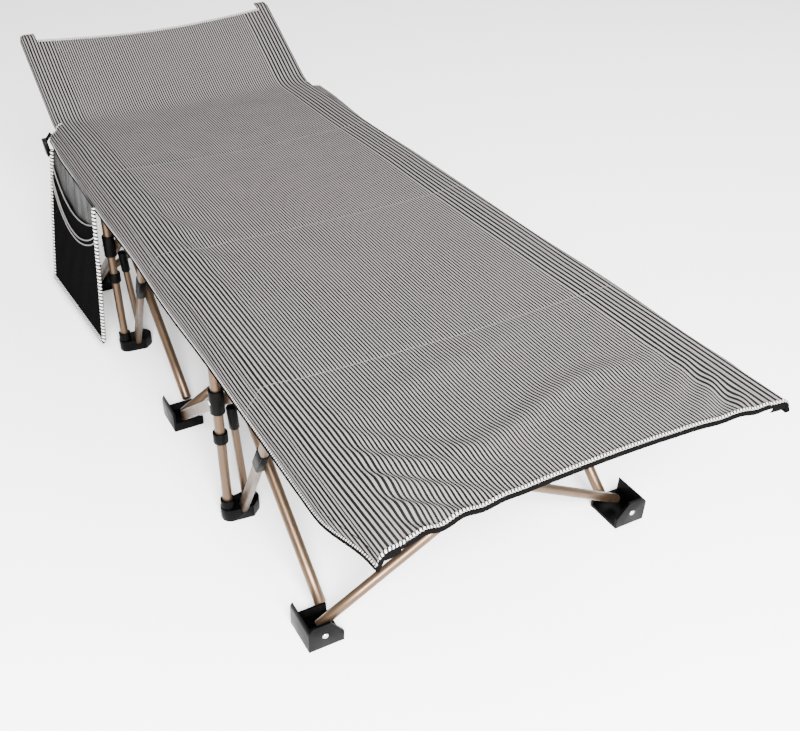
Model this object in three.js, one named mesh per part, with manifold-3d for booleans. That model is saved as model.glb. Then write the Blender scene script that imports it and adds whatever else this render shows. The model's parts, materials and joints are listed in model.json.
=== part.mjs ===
// Folding camp cot: a fabric deck on two side frames that three pairs of crossed legs hold apart.
// Millimetres. +X is to the right seen from the foot end, +Y points to the headrest, +Z is up.
import * as THREE from 'three';
import { mergeVertices } from 'three/addons/utils/BufferGeometryUtils.js';
import Module from 'manifold-3d';

const wasm = await Module();
wasm.setup();

// ---- driving dimensions -------------------------------------------------------------------
const DECK_WIDTH = 672;          // across the fabric
const STATION_PITCH = 328;       // distance from one pair of feet to the next
const FIRST_STATION_Y = -2 * STATION_PITCH - 36;   // the crossed legs nearest the foot end
const FOOT_OVERHANG = 248;       // fabric past the first station
const DECK_FOOT_Y = FIRST_STATION_Y - FOOT_OVERHANG;
const RAIL_RADIUS = 12.5;
const RAIL_Z = 400;              // height of the rails' axis
const HEADREST_Y = FIRST_STATION_Y + 4 * STATION_PITCH + 70;   // where the rails bend up
const HEADREST_LENGTH = 290;
const HEADREST_ANGLE = 30;       // degrees above the deck
const RAIL_BEND = 32;            // length of rail that each side of the bend takes up
const FABRIC = 3;                // thickness of the deck's solid
const GAP = 0.3;                 // clearance between pieces that touch
const RUNNING = 0.4;             // clearance of a tube in a socket or ring

const RAIL_X = DECK_WIDTH / 2 - 14;  // the fabric's sleeve takes the other 14
const POST_RADIUS = 9;
const RING_RADIUS = POST_RADIUS + 4.5;
const POST_X = RAIL_X + 16;
const FLAT_WIDTH = 12;           // flat leg, seen along the cot
const FLAT_DEPTH = 22;
const FLAT_X = POST_X - RING_RADIUS - GAP - FLAT_WIDTH / 2;
const LONG_RADIUS = 10;          // round leg
const BRACE_WIDTH = 14;
const BRACE_DEPTH = 20;
const BRACE_X = FLAT_X - 6;
const LONG_X = BRACE_X - BRACE_WIDTH / 2 - LONG_RADIUS - 3;
const STRUT_RADIUS = 7.5;

const CROSS_RADIUS = 9;
const CROSS_OFFSET = CROSS_RADIUS + 0.5;   // each crossed leg's distance from the station's plane
const CROSS_PIVOT_X = RAIL_X - 16;
const CROSS_TOP_Z = RAIL_Z - RAIL_RADIUS - 21.5;
const CROSS_FOOT_Z = 30;
const CROSS_OVERHANG = 11;       // tube past its pivot

const LEG_INSET = 2 * CROSS_RADIUS + 9;    // side legs start this far from the station's plane
const LEG_FOOT_Z = 30;
const LEG_TOP_Z = RAIL_Z - RAIL_RADIUS - 10.5;
const LEG_ANGLE = 38.3;          // degrees above the floor
const SLIDER_HEIGHT = 48;
const COLLAR_HEIGHT = 22;
const COLLAR_Z = 190;

const SHOE_WALL = 5;
const SHOE_HEIGHT = 52;
const SHOE_LOW_WALL = 20;        // wall that a side leg passes over
const SHOE_CORNER = 14;          // round of the shoe's upper outer corner
const SHOE_FLOOR = 6;
const SHOE_NOSE = 24;            // the inner end slopes down over this length
const SHOE_NOSE_Z = 22;
const SHOE_OUTER_X = POST_X + 6;
const SHOE_INNER_X = LONG_X - LONG_RADIUS - 2;
const SHOE_HALF_LENGTH = LEG_INSET + 9;

const JOINT_LENGTH = 64;         // sleeve that joins the rails' halves
const RAIL_FOOT_Y = DECK_FOOT_Y + 22;
const BRACKET_INNER_X = CROSS_PIVOT_X - 16;
const BRACKET_OUTER_X = RAIL_X + RAIL_RADIUS - 0.5;
const BRACKET_BOTTOM_Z = CROSS_TOP_Z - 13;
const BRACKET_TOP_Z = RAIL_Z - 4;
const BRACKET_ROOM = CROSS_RADIUS * 2 + 2;    // half the width between the bracket's cheeks
const BRACKET_HALF = BRACKET_ROOM + 7;

const BRACE_REACH = 212;         // how far the brace's top leans to the foot end
const BRACE_FOOT_Y = -8;
const STRUT_FOOT_Y = 18;
const STRUT_TOP_DROP = 26;       // strut's top below the legs' crossing
const SOCKET_FLOOR = 6;
const SOCKET_REST = 14;          // height that the brace and the strut stand at
const SOCKET_HEIGHT = 44;
const DOUBLE_SHOE_HEIGHT = 26;
const DOUBLE_SHOE_RADIUS = 19;

const POCKET_LENGTH = 370;
const POCKET_Y = HEADREST_Y - 220;         // middle of the pocket
const POCKET_TOP_Z = RAIL_Z - 22;
const POCKET_DROP = 340;
const POCKET_DEPTH = 16;
const POCKET_WALL = 2.5;
const POCKET_MOUTH = 90;         // the outer wall stops this far below the back
const POCKET_FLARE = 22;         // the pocket's bottom hangs this far out
const POCKET_X = POST_X + RING_RADIUS + 2;

const station = (n) => FIRST_STATION_Y + n * STATION_PITCH;
const CROSS_STATIONS = { foot: station(0), mid: station(2), head: station(4) };
const POST_STATIONS = { foot: station(1), head: station(3) };
const HALVES = { foot: [station(0), station(2)], head: [station(2), station(4)] };
const rad = THREE.MathUtils.degToRad;
const CENTRE_SHIFT = (POCKET_DEPTH + POCKET_FLARE + 2) / 2;  // puts the origin mid-way over the floor

// ---- materials ----------------------------------------------------------------------------
const finish = (color, roughness, metalness) => () =>
  new THREE.MeshStandardMaterial({ color, roughness, metalness });
const champagne = finish(0xb59a80, 0.38, 0.6);
const blackPlastic = finish(0x17171a, 0.5, 0);
const stripedFabric = finish(0x8b8688, 0.85, 0);
const blackMesh = finish(0x101012, 0.9, 0);

// ---- solids -------------------------------------------------------------------------------
function solid(geometry) {
  const bare = geometry.clone();
  bare.deleteAttribute('normal');
  bare.deleteAttribute('uv');
  const merged = mergeVertices(bare, 1e-4);
  return new wasm.Manifold(new wasm.Mesh({
    numProp: 3,
    vertProperties: new Float32Array(merged.attributes.position.array),
    triVerts: new Uint32Array(merged.index.array),
  }));
}

function geometryOf(body) {
  const mesh = body.getMesh();
  const geometry = new THREE.BufferGeometry();
  geometry.setAttribute('position', new THREE.BufferAttribute(new Float32Array(mesh.vertProperties), 3));
  geometry.setIndex(new THREE.BufferAttribute(new Uint32Array(mesh.triVerts), 1));
  return geometry;
}

const join = (...bodies) => bodies.reduce((a, b) => a.add(b));
const cut = (body, ...tools) => tools.reduce((a, b) => a.subtract(b), body);

function box(low, high) {
  const size = high.map((value, i) => Math.abs(value - low[i]));
  const geometry = new THREE.BoxGeometry(...size);
  return geometry.translate(...high.map((value, i) => (value + low[i]) / 2));
}

// A bar from one point to another. The section's width lies along X as far as it can.
function bar(from, to, section) {
  const start = new THREE.Vector3(...from);
  const along = new THREE.Vector3(...to).sub(start);
  const length = along.length();
  const geometry = section(length);
  const z = along.normalize();
  const y = new THREE.Vector3().crossVectors(z, new THREE.Vector3(1, 0, 0)).normalize();
  if (y.lengthSq() < 0.5) y.set(0, 1, 0);
  const x = new THREE.Vector3().crossVectors(y, z);
  geometry.applyMatrix4(new THREE.Matrix4().makeBasis(x, y, z));
  return geometry.translate(...start.addScaledVector(z, length / 2).toArray());
}

const roundOf = (radius, sides = 16) => (length) =>
  new THREE.CylinderGeometry(radius, radius, length, sides).rotateX(Math.PI / 2);

const roundedSection = (width, depth, corner) => (length) => {
  const shape = new THREE.Shape();
  const [w, d] = [width / 2 - corner, depth / 2 - corner];
  shape.absarc(w, d, corner, 0, Math.PI / 2);
  shape.absarc(-w, d, corner, Math.PI / 2, Math.PI);
  shape.absarc(-w, -d, corner, Math.PI, Math.PI * 1.5);
  shape.absarc(w, -d, corner, Math.PI * 1.5, Math.PI * 2);
  const options = { depth: length, bevelEnabled: false, curveSegments: 2 };
  return new THREE.ExtrudeGeometry(shape, options).translate(0, 0, -length / 2);
};

const cot = new THREE.Group();
cot.position.x = CENTRE_SHIFT;

// Parts are drawn for the right side; the left side's solids are their mirror images.
function mirrored(geometry) {
  const flipped = geometry.clone().scale(-1, 1, 1);
  const corner = flipped.index ? flipped.index.array : null;
  if (corner) {
    for (let i = 0; i < corner.length; i += 3) [corner[i], corner[i + 1]] = [corner[i + 1], corner[i]];
    return flipped;
  }
  const points = flipped.attributes.position;
  for (let i = 0; i < points.count; i += 3) {
    const first = [points.getX(i), points.getY(i), points.getZ(i)];
    points.setXYZ(i, points.getX(i + 1), points.getY(i + 1), points.getZ(i + 1));
    points.setXYZ(i + 1, ...first);
  }
  return flipped;
}

function place(name, geometry, material) {
  const mesh = new THREE.Mesh(geometry, material());
  mesh.name = name;
  cot.add(mesh);
}

function pair(name, geometry, material) {
  place(`right_${name}`, geometry, material);
  place(`left_${name}`, mirrored(geometry), material);
}

// ---- rails --------------------------------------------------------------------------------
const [rise, run] = [Math.sin(rad(HEADREST_ANGLE)), Math.cos(rad(HEADREST_ANGLE))];

function footRail() {
  const end = CROSS_STATIONS.mid - JOINT_LENGTH / 2 - GAP;
  return bar([RAIL_X, RAIL_FOOT_Y, RAIL_Z], [RAIL_X, end, RAIL_Z], roundOf(RAIL_RADIUS));
}

// A curve whose equal steps are its own points, so that a swept section turns only at them.
class Route extends THREE.Curve {
  constructor(points) {
    super();
    this.points = points;
  }

  getPoint(t) {
    return this.points[Math.round(t * (this.points.length - 1))].clone();
  }

  getPointAt(u) {
    return this.getPoint(u);
  }

  getTangentAt(u) {
    const [at, last] = [Math.round(u * (this.points.length - 1)), this.points.length - 1];
    const ahead = this.points[Math.min(at + 1, last)];
    return ahead.clone().sub(this.points[Math.max(at - 1, 0)]).normalize();
  }
}

function headRail() {
  const point = (y, z) => new THREE.Vector3(RAIL_X, y, RAIL_Z + z);
  const bendStart = point(HEADREST_Y - RAIL_BEND, 0);
  const bendEnd = point(HEADREST_Y + RAIL_BEND * run, RAIL_BEND * rise);
  const bend = new THREE.QuadraticBezierCurve3(bendStart, point(HEADREST_Y, 0), bendEnd).getPoints(6);
  const before = point(HEADREST_Y - RAIL_BEND * 1.5, 0);
  const after = point(HEADREST_Y + RAIL_BEND * run * 1.5, RAIL_BEND * rise * 1.5);
  const start = point(CROSS_STATIONS.mid + JOINT_LENGTH / 2 + GAP, 0);
  const end = point(HEADREST_Y + HEADREST_LENGTH * run, HEADREST_LENGTH * rise);
  const route = new Route([start, before, ...bend, after, end]);
  const section = new THREE.Shape();
  section.absarc(0, 0, RAIL_RADIUS, 0, Math.PI * 2);
  const steps = route.points.length - 1;
  const options = { extrudePath: route, steps, bevelEnabled: false, curveSegments: 16 };
  return new THREE.ExtrudeGeometry(section, options);
}

pair('foot_rail', footRail(), champagne);
pair('head_rail', headRail(), champagne);

// ---- brackets under the rails, which hold the crossed legs' upper ends --------------------

function topBracket(y) {
  const block = solid(box([BRACKET_INNER_X, y - BRACKET_HALF, BRACKET_BOTTOM_Z],
    [BRACKET_OUTER_X, y + BRACKET_HALF, BRACKET_TOP_Z]));
  const slot = solid(box([BRACKET_INNER_X - 1, y - BRACKET_ROOM, BRACKET_BOTTOM_Z - 1],
    [CROSS_PIVOT_X + CROSS_OVERHANG + 4, y + BRACKET_ROOM, RAIL_Z + 5]));
  return cut(block, slot);
}

function railClip(y) {
  const [from, to] = [[RAIL_X, y - JOINT_LENGTH, RAIL_Z], [RAIL_X, y + JOINT_LENGTH, RAIL_Z]];
  const saddle = bar(from, to, roundOf(RAIL_RADIUS + RUNNING));
  return geometryOf(cut(topBracket(y), solid(saddle)));
}

function railJoint(y) {
  const half = JOINT_LENGTH / 2;
  const [from, to] = [[RAIL_X, y - half, RAIL_Z], [RAIL_X, y + half, RAIL_Z]];
  const sleeve = solid(bar(from, to, roundOf(RAIL_RADIUS)));
  return geometryOf(join(topBracket(y), sleeve));
}

pair('top_bracket_foot', railClip(CROSS_STATIONS.foot), blackPlastic);
pair('rail_joint', railJoint(CROSS_STATIONS.mid), blackPlastic);
pair('top_bracket_head', railClip(CROSS_STATIONS.head), blackPlastic);

// ---- crossed legs -------------------------------------------------------------------------
function crossLeg(y, side) {
  const rise = CROSS_TOP_Z - CROSS_FOOT_Z;
  const length = Math.hypot(2 * CROSS_PIVOT_X, rise);
  const past = CROSS_OVERHANG / length;
  const [dx, dz] = [2 * CROSS_PIVOT_X * past, rise * past];
  const plane = y + side * CROSS_OFFSET;
  const top = [-side * (CROSS_PIVOT_X + dx), plane, CROSS_TOP_Z + dz];
  const foot = [side * (CROSS_PIVOT_X + dx), plane, CROSS_FOOT_Z - dz];
  return bar(foot, top, roundOf(CROSS_RADIUS));
}

for (const [where, y] of Object.entries(CROSS_STATIONS)) {
  place(`cross_leg_a_${where}`, crossLeg(y, -1), champagne);
  place(`cross_leg_b_${where}`, crossLeg(y, 1), champagne);
}

// ---- shoes of the crossed legs ------------------------------------------------------------
function shoe(y, lowFront, lowBack) {
  const [front, back] = [y - SHOE_HALF_LENGTH, y + SHOE_HALF_LENGTH];
  const outline = new THREE.Shape();
  outline.moveTo(SHOE_INNER_X, 0);
  outline.lineTo(SHOE_OUTER_X, 0);
  outline.lineTo(SHOE_OUTER_X, SHOE_HEIGHT - SHOE_CORNER);
  outline.absarc(SHOE_OUTER_X - SHOE_CORNER, SHOE_HEIGHT - SHOE_CORNER, SHOE_CORNER, 0, Math.PI / 2);
  outline.lineTo(SHOE_INNER_X + SHOE_NOSE, SHOE_HEIGHT);
  outline.lineTo(SHOE_INNER_X, SHOE_NOSE_Z);
  const options = { depth: 2 * SHOE_HALF_LENGTH, bevelEnabled: false, curveSegments: 4 };
  const block = solid(new THREE.ExtrudeGeometry(outline, options)
    .rotateX(Math.PI / 2).translate(0, back, 0));
  const [start, end] = [SHOE_INNER_X - 1, SHOE_OUTER_X - SHOE_WALL];
  const above = SHOE_HEIGHT + 1;
  const tools = [box([start, front + SHOE_WALL, SHOE_FLOOR], [end, back - SHOE_WALL, above])];
  if (lowFront) {
    tools.push(box([start, front - 1, SHOE_LOW_WALL], [end, front + SHOE_WALL + 1, above]));
  }
  if (lowBack) {
    tools.push(box([start, back - SHOE_WALL - 1, SHOE_LOW_WALL], [end, back + 1, above]));
  }
  return geometryOf(cut(block, ...tools.map(solid)));
}

pair('shoe_foot', shoe(CROSS_STATIONS.foot, false, true), blackPlastic);
pair('shoe_mid', shoe(CROSS_STATIONS.mid, true, true), blackPlastic);
pair('shoe_head', shoe(CROSS_STATIONS.head, true, false), blackPlastic);

// ---- side legs: a round one rises to the headrest, a flat one to the foot end -------------
const legRun = (LEG_TOP_Z - LEG_FOOT_Z) / Math.tan(rad(LEG_ANGLE));

for (const [half, [near, far]] of Object.entries(HALVES)) {
  const longFrom = [LONG_X, near + LEG_INSET, LEG_FOOT_Z];
  const longTo = [LONG_X, near + LEG_INSET + legRun, LEG_TOP_Z];
  pair(`long_leg_${half}`, bar(longFrom, longTo, roundOf(LONG_RADIUS)), champagne);
  const flatFrom = [FLAT_X, far - LEG_INSET, LEG_FOOT_Z];
  const flatTo = [FLAT_X, far - LEG_INSET - legRun, LEG_TOP_Z];
  pair(`flat_leg_${half}`, bar(flatFrom, flatTo, roundedSection(FLAT_WIDTH, FLAT_DEPTH, 2.5)), champagne);
}

// ---- posts with their slider, collar, brace, strut and double shoe ------------------------
const legsCrossZ = LEG_FOOT_Z + (STATION_PITCH - LEG_INSET) * Math.tan(rad(LEG_ANGLE));

function ring(y, z, height) {
  const at = (dz) => [POST_X, y, z + dz];
  const outer = solid(bar(at(-height / 2), at(height / 2), roundOf(RING_RADIUS, 20)));
  const hole = solid(bar(at(-height), at(height), roundOf(POST_RADIUS + RUNNING)));
  return geometryOf(cut(outer, hole));
}

function braceLine(y, part = 1) {
  const [fromY, fromZ] = [y + BRACE_FOOT_Y, SOCKET_REST];
  const topZ = LEG_TOP_Z - 4;
  return [fromY - (BRACE_REACH + BRACE_FOOT_Y) * part, fromZ + (topZ - fromZ) * part];
}

function brace(y, from, to, width, depth) {
  const [a, b] = [braceLine(y, from), braceLine(y, to)];
  return bar([BRACE_X, ...a], [BRACE_X, ...b], roundedSection(width, depth, 2.5));
}

function strut(y, radius, extra = 0) {
  const top = legsCrossZ - STRUT_TOP_DROP;
  return bar([LONG_X + 3, y + STRUT_FOOT_Y, SOCKET_REST - extra],
    [BRACE_X, y + 3, top], roundOf(radius, 12));
}

function post(y, radius, extra = 0) {
  return bar([POST_X, y, SOCKET_FLOOR - extra], [POST_X, y, RAIL_Z - RAIL_RADIUS - 1], roundOf(radius));
}

function doubleShoe(y) {
  const outline = new THREE.Shape();
  const inner = LONG_X + 4;
  outline.absarc(POST_X - 4, 0, DOUBLE_SHOE_RADIUS, -Math.PI / 2, Math.PI / 2);
  outline.absarc(inner, 5, DOUBLE_SHOE_RADIUS + 2, Math.PI / 2, Math.PI * 1.25);
  outline.lineTo(inner, -DOUBLE_SHOE_RADIUS - 4);
  const options = { depth: DOUBLE_SHOE_HEIGHT, bevelEnabled: false, curveSegments: 7 };
  const base = solid(new THREE.ExtrudeGeometry(outline, options).translate(0, y, 0));
  const boss = solid(bar([POST_X, y, 0], [POST_X, y, SOCKET_HEIGHT], roundOf(RING_RADIUS, 20)));
  const postHole = solid(post(y, POST_RADIUS + RUNNING));
  const braceHole = solid(brace(y, -0.02, 0.4, BRACE_WIDTH + 2 * RUNNING, BRACE_DEPTH + 2 * RUNNING));
  const strutHole = solid(strut(y, STRUT_RADIUS + RUNNING, 1));
  return geometryOf(cut(join(base, boss), postHole, braceHole, strutHole));
}

for (const [half, y] of Object.entries(POST_STATIONS)) {
  pair(`post_${half}`, post(y, POST_RADIUS, -GAP), champagne);
  pair(`slider_${half}`, ring(y, legsCrossZ, SLIDER_HEIGHT), blackPlastic);
  pair(`collar_${half}`, ring(y, COLLAR_Z, COLLAR_HEIGHT), blackPlastic);
  pair(`brace_${half}`, brace(y, 0, 1, BRACE_WIDTH, BRACE_DEPTH), champagne);
  pair(`strut_${half}`, strut(y, STRUT_RADIUS), champagne);
  pair(`double_shoe_${half}`, doubleShoe(y), blackPlastic);
}

// ---- fabric deck with its headrest --------------------------------------------------------
function deck() {
  const under = RAIL_RADIUS + 0.5;
  const upSlope = (along, height) =>
    [HEADREST_Y + along * run - height * rise, RAIL_Z + along * rise + height * run];
  const line = (height) => [
    [DECK_FOOT_Y, RAIL_Z + height],
    [HEADREST_Y - RAIL_BEND, RAIL_Z + height],
    upSlope(RAIL_BEND, height),
    upSlope(HEADREST_LENGTH, height),
  ];
  const profile = new THREE.Shape();
  const points = [...line(under), ...line(under + FABRIC).reverse()];
  profile.setFromPoints(points.map(([y, z]) => new THREE.Vector2(y, z)));
  const sheet = new THREE.ExtrudeGeometry(profile, { depth: DECK_WIDTH, bevelEnabled: false });
  return sheet.rotateX(Math.PI / 2).rotateZ(Math.PI / 2).translate(-DECK_WIDTH / 2, 0, 0);
}

place('deck_fabric', deck(), stripedFabric);

// ---- side pocket, open at the top, hung from the left rail --------------------------------
function pocket() {
  const [low, high] = [POCKET_Y - POCKET_LENGTH / 2, POCKET_Y + POCKET_LENGTH / 2];
  const block = box([0, low, -POCKET_DROP], [POCKET_DEPTH, high, 0]);
  const hollow = box([POCKET_WALL, low + POCKET_WALL, POCKET_WALL - POCKET_DROP],
    [POCKET_DEPTH - POCKET_WALL, high - POCKET_WALL, 1]);
  const lowFront = box([POCKET_DEPTH - POCKET_WALL - 1, low - 1, -POCKET_MOUTH],
    [POCKET_DEPTH + 1, high + 1, 1]);
  const body = geometryOf(cut(solid(block), solid(hollow), solid(lowFront)));
  const outwards = -POCKET_FLARE / POCKET_DROP;
  const lean = new THREE.Matrix4().set(
    1, 0, outwards, POCKET_X,
    0, 1, 0, 0,
    0, 0, 1, POCKET_TOP_Z,
    0, 0, 0, 1,
  );
  return mirrored(body.applyMatrix4(lean));
}

place('side_pocket', pocket(), blackMesh);

export default cot;
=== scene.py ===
import json
import math

import bpy
import numpy as np
from mathutils import Matrix, Vector

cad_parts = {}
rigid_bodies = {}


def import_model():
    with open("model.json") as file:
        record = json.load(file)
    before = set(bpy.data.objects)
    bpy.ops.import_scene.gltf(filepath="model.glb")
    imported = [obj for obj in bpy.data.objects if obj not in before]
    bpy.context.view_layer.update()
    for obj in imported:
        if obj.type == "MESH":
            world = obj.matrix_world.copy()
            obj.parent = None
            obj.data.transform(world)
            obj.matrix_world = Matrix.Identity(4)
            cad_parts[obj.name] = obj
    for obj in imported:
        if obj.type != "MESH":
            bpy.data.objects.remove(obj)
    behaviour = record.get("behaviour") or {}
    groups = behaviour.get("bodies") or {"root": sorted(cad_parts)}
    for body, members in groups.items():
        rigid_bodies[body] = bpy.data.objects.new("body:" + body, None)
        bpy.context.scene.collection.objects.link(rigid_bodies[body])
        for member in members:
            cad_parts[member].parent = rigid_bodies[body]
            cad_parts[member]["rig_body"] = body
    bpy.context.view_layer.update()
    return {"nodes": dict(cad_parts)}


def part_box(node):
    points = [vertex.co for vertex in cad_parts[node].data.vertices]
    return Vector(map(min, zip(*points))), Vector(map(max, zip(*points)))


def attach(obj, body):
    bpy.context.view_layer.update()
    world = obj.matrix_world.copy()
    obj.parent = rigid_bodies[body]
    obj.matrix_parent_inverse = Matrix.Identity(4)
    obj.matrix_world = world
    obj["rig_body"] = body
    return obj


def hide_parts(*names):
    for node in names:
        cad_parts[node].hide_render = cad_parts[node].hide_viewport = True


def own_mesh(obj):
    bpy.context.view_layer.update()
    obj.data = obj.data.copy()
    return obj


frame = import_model()   # frame["nodes"]

RIGHT, LEFT = "right_frame", "left_frame"

# ---- sizes read from the frame, in metres ---------------------------------------------------
rail_low, rail_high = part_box("right_foot_rail")
left_low, left_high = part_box("left_foot_rail")
head_low, head_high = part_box("right_head_rail")
deck_low, deck_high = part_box("deck_fabric")
pocket_low, pocket_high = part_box("side_pocket")

RAIL_R = (rail_high.z - rail_low.z) / 2
RAIL_Z = (rail_high.z + rail_low.z) / 2
RIGHT_X = (rail_high.x + rail_low.x) / 2
LEFT_X = (left_high.x + left_low.x) / 2
MID_X = (RIGHT_X + LEFT_X) / 2
FOOT_Y = deck_low.y
SLOPE = math.radians(30)          # headrest above the deck
END_Y = head_high.y - RAIL_R * math.sin(SLOPE)
END_Z = head_high.z - RAIL_R * math.cos(SLOPE)
BEND_Y = END_Y - (END_Z - RAIL_Z) / math.tan(SLOPE)
BEND_TANGENT = 0.032
BEND_RADIUS = BEND_TANGENT / math.tan(SLOPE / 2)
BEND_LENGTH = BEND_RADIUS * SLOPE
DECK_LENGTH = BEND_Y - BEND_TANGENT - FOOT_Y
HEADREST = math.hypot(END_Y - BEND_Y, END_Z - RAIL_Z) - BEND_TANGENT
TOTAL = DECK_LENGTH + BEND_LENGTH + HEADREST

CLOTH = 0.0012                    # thickness of the fabric
OVER_RAIL = RAIL_R + 0.0018       # the fabric's outer face above the rails' axis
PANEL_HALF = 0.300                # half of the flat panel between the two sleeves
RAIL_HALF = (RIGHT_X - LEFT_X) / 2
FOOT_CURVE = 0.018                # how far the foot edge curves in at the middle
HEAD_STEP = 0.026                 # the panel ends this far short of the sleeves' head ends
HEAD_CURVE = 0.012
FLAP_END = DECK_LENGTH + 0.012    # the main sleeves end here, and the headrest's go on


# ---- shapes ---------------------------------------------------------------------------------
def smooth(x, low, high):
    t = np.clip((x - low) / (high - low), 0, 1)
    return t * t * (3 - 2 * t)


def hill(x, centre, width):
    return np.exp(-((x - centre) / width) ** 2)


def profile(s):
    """Point (y, z) of the rails' axis at length s from the foot edge, and the direction up from it."""
    s = np.asarray(s, float)
    turn = np.clip((s - DECK_LENGTH) / BEND_RADIUS, 0, SLOPE)
    flat = np.minimum(s, DECK_LENGTH)
    beyond = np.maximum(s - DECK_LENGTH - BEND_LENGTH, 0)
    y = FOOT_Y + flat + BEND_RADIUS * np.sin(turn) + beyond * math.cos(SLOPE)
    z = RAIL_Z + BEND_RADIUS * (1 - np.cos(turn)) + beyond * math.sin(SLOPE)
    return y, z, -np.sin(turn), np.cos(turn)


def lifted(x, s, height):
    """The point at x across, s along and height above the rails' axis."""
    y, z, up_y, up_z = profile(s)
    return np.stack(np.broadcast_arrays(x, y + up_y * height, z + up_z * height), -1)


SHARP_ANGLE = math.radians(50)    # edges bent more than this stay sharp
TUBE_SIDES = 28
END_ROUND_STEP = 0.35             # a rounded end's inner ring, as a share of its length
BAR_CORNER_STEPS = 6
BAR_LIP = 0.0006                  # the small chamfer at a bar's ends
END_BAND = 0.002                  # vertices this near a bar's end belong to its end face


def make_mesh(name, points, faces, uvs, material):
    mesh = bpy.data.meshes.new(name)
    mesh.from_pydata([tuple(p) for p in points], [], faces)
    layer = mesh.uv_layers.new(name="UVMap")
    index = np.empty(len(mesh.loops), int)
    mesh.loops.foreach_get("vertex_index", index)
    layer.data.foreach_set("uv", np.asarray(uvs, np.float32)[index].ravel())
    mesh.polygons.foreach_set("use_smooth", [True] * len(mesh.polygons))
    mesh.update()
    mesh.set_sharp_from_angle(angle=SHARP_ANGLE)
    obj = bpy.data.objects.new(name, mesh)
    bpy.context.scene.collection.objects.link(obj)
    mesh.materials.append(material)
    return obj


def sheet_mesh(name, points, uv, thickness, material):
    """A closed thin sheet whose outer face is the grid of points; its normal is du x dv."""
    rows, cols = points.shape[:2]
    du, dv = np.gradient(points, axis=0), np.gradient(points, axis=1)
    normal = np.cross(du, dv)
    normal /= np.linalg.norm(normal, axis=2, keepdims=True)
    under = points - normal * thickness
    verts = np.concatenate([points.reshape(-1, 3), under.reshape(-1, 3)])
    uvs = np.concatenate([uv.reshape(-1, 2), uv.reshape(-1, 2)])
    n = rows * cols
    at = np.arange(n).reshape(rows, cols)
    a, b, c, d = at[:-1, :-1], at[1:, :-1], at[1:, 1:], at[:-1, 1:]
    top = np.stack([a, b, c, d], -1).reshape(-1, 4)
    faces = [tuple(f) for f in top.tolist()] + [tuple(f) for f in (top[:, ::-1] + n).tolist()]
    edge = np.concatenate([at[:, 0], at[-1, 1:], at[-2::-1, -1], at[0, -2:0:-1]])
    for i, j in zip(edge.tolist(), np.roll(edge, -1).tolist()):
        faces.append((j, i, i + n, j + n))
    return make_mesh(name, verts, faces, uvs, material)


def along(path):
    return np.concatenate([[0], np.cumsum(np.linalg.norm(np.diff(path, axis=0), axis=1))])


def resample(path, step):
    path = np.asarray(path, float)
    length = along(path)
    count = max(2, int(round(length[-1] / step)) + 1)
    at = np.linspace(0, length[-1], count)
    return np.stack([np.interp(at, length, path[:, i]) for i in range(3)], -1)


def tube_mesh(name, path, radius, material, sides=TUBE_SIDES, ends=0.0):
    """A closed round tube along a path; ends is how much its two end edges are rounded."""
    path = np.asarray(path, float)
    tangent = np.gradient(path, axis=0)
    tangent /= np.linalg.norm(tangent, axis=1, keepdims=True)
    side = np.cross(tangent[0], (0, 0, 1.0))
    if np.linalg.norm(side) < 0.2:
        side = np.cross(tangent[0], (0, 1.0, 0))
    frames = []
    for t in tangent:
        side = side - t * (side @ t)
        side = side / np.linalg.norm(side)
        frames.append((side, np.cross(t, side)))
    length = along(path)
    rings = [(path[i], frames[i], radius, length[i]) for i in range(len(path))]
    if ends > 0:
        first, last = path[0], path[-1]
        rings[0] = (first + tangent[0] * ends, frames[0], radius, ends)
        rings[-1] = (last - tangent[-1] * ends, frames[-1], radius, length[-1] - ends)
        for part in (END_ROUND_STEP, 0.0):
            small = radius - ends * (1 - part)
            rings.insert(0, (first + tangent[0] * ends * part, frames[0], small, ends * part))
            rings.append((last - tangent[-1] * ends * part, frames[-1], small, length[-1]))
    angles = np.linspace(0, 2 * math.pi, sides, endpoint=False)
    verts, uvs = [], []
    for centre, (u, w), r, at in rings:
        for k in angles:
            verts.append(centre + u * math.cos(k) * r + w * math.sin(k) * r)
            uvs.append((k / (2 * math.pi), at))
    faces = []
    for i in range(len(rings) - 1):
        for k in range(sides):
            a, b = i * sides + k, i * sides + (k + 1) % sides
            faces.append((a, a + sides, b + sides, b))
    faces.append(tuple(range(sides)))
    faces.append(tuple(reversed(range((len(rings) - 1) * sides, len(rings) * sides))))
    return make_mesh(name, verts, faces, uvs, material)


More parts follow.
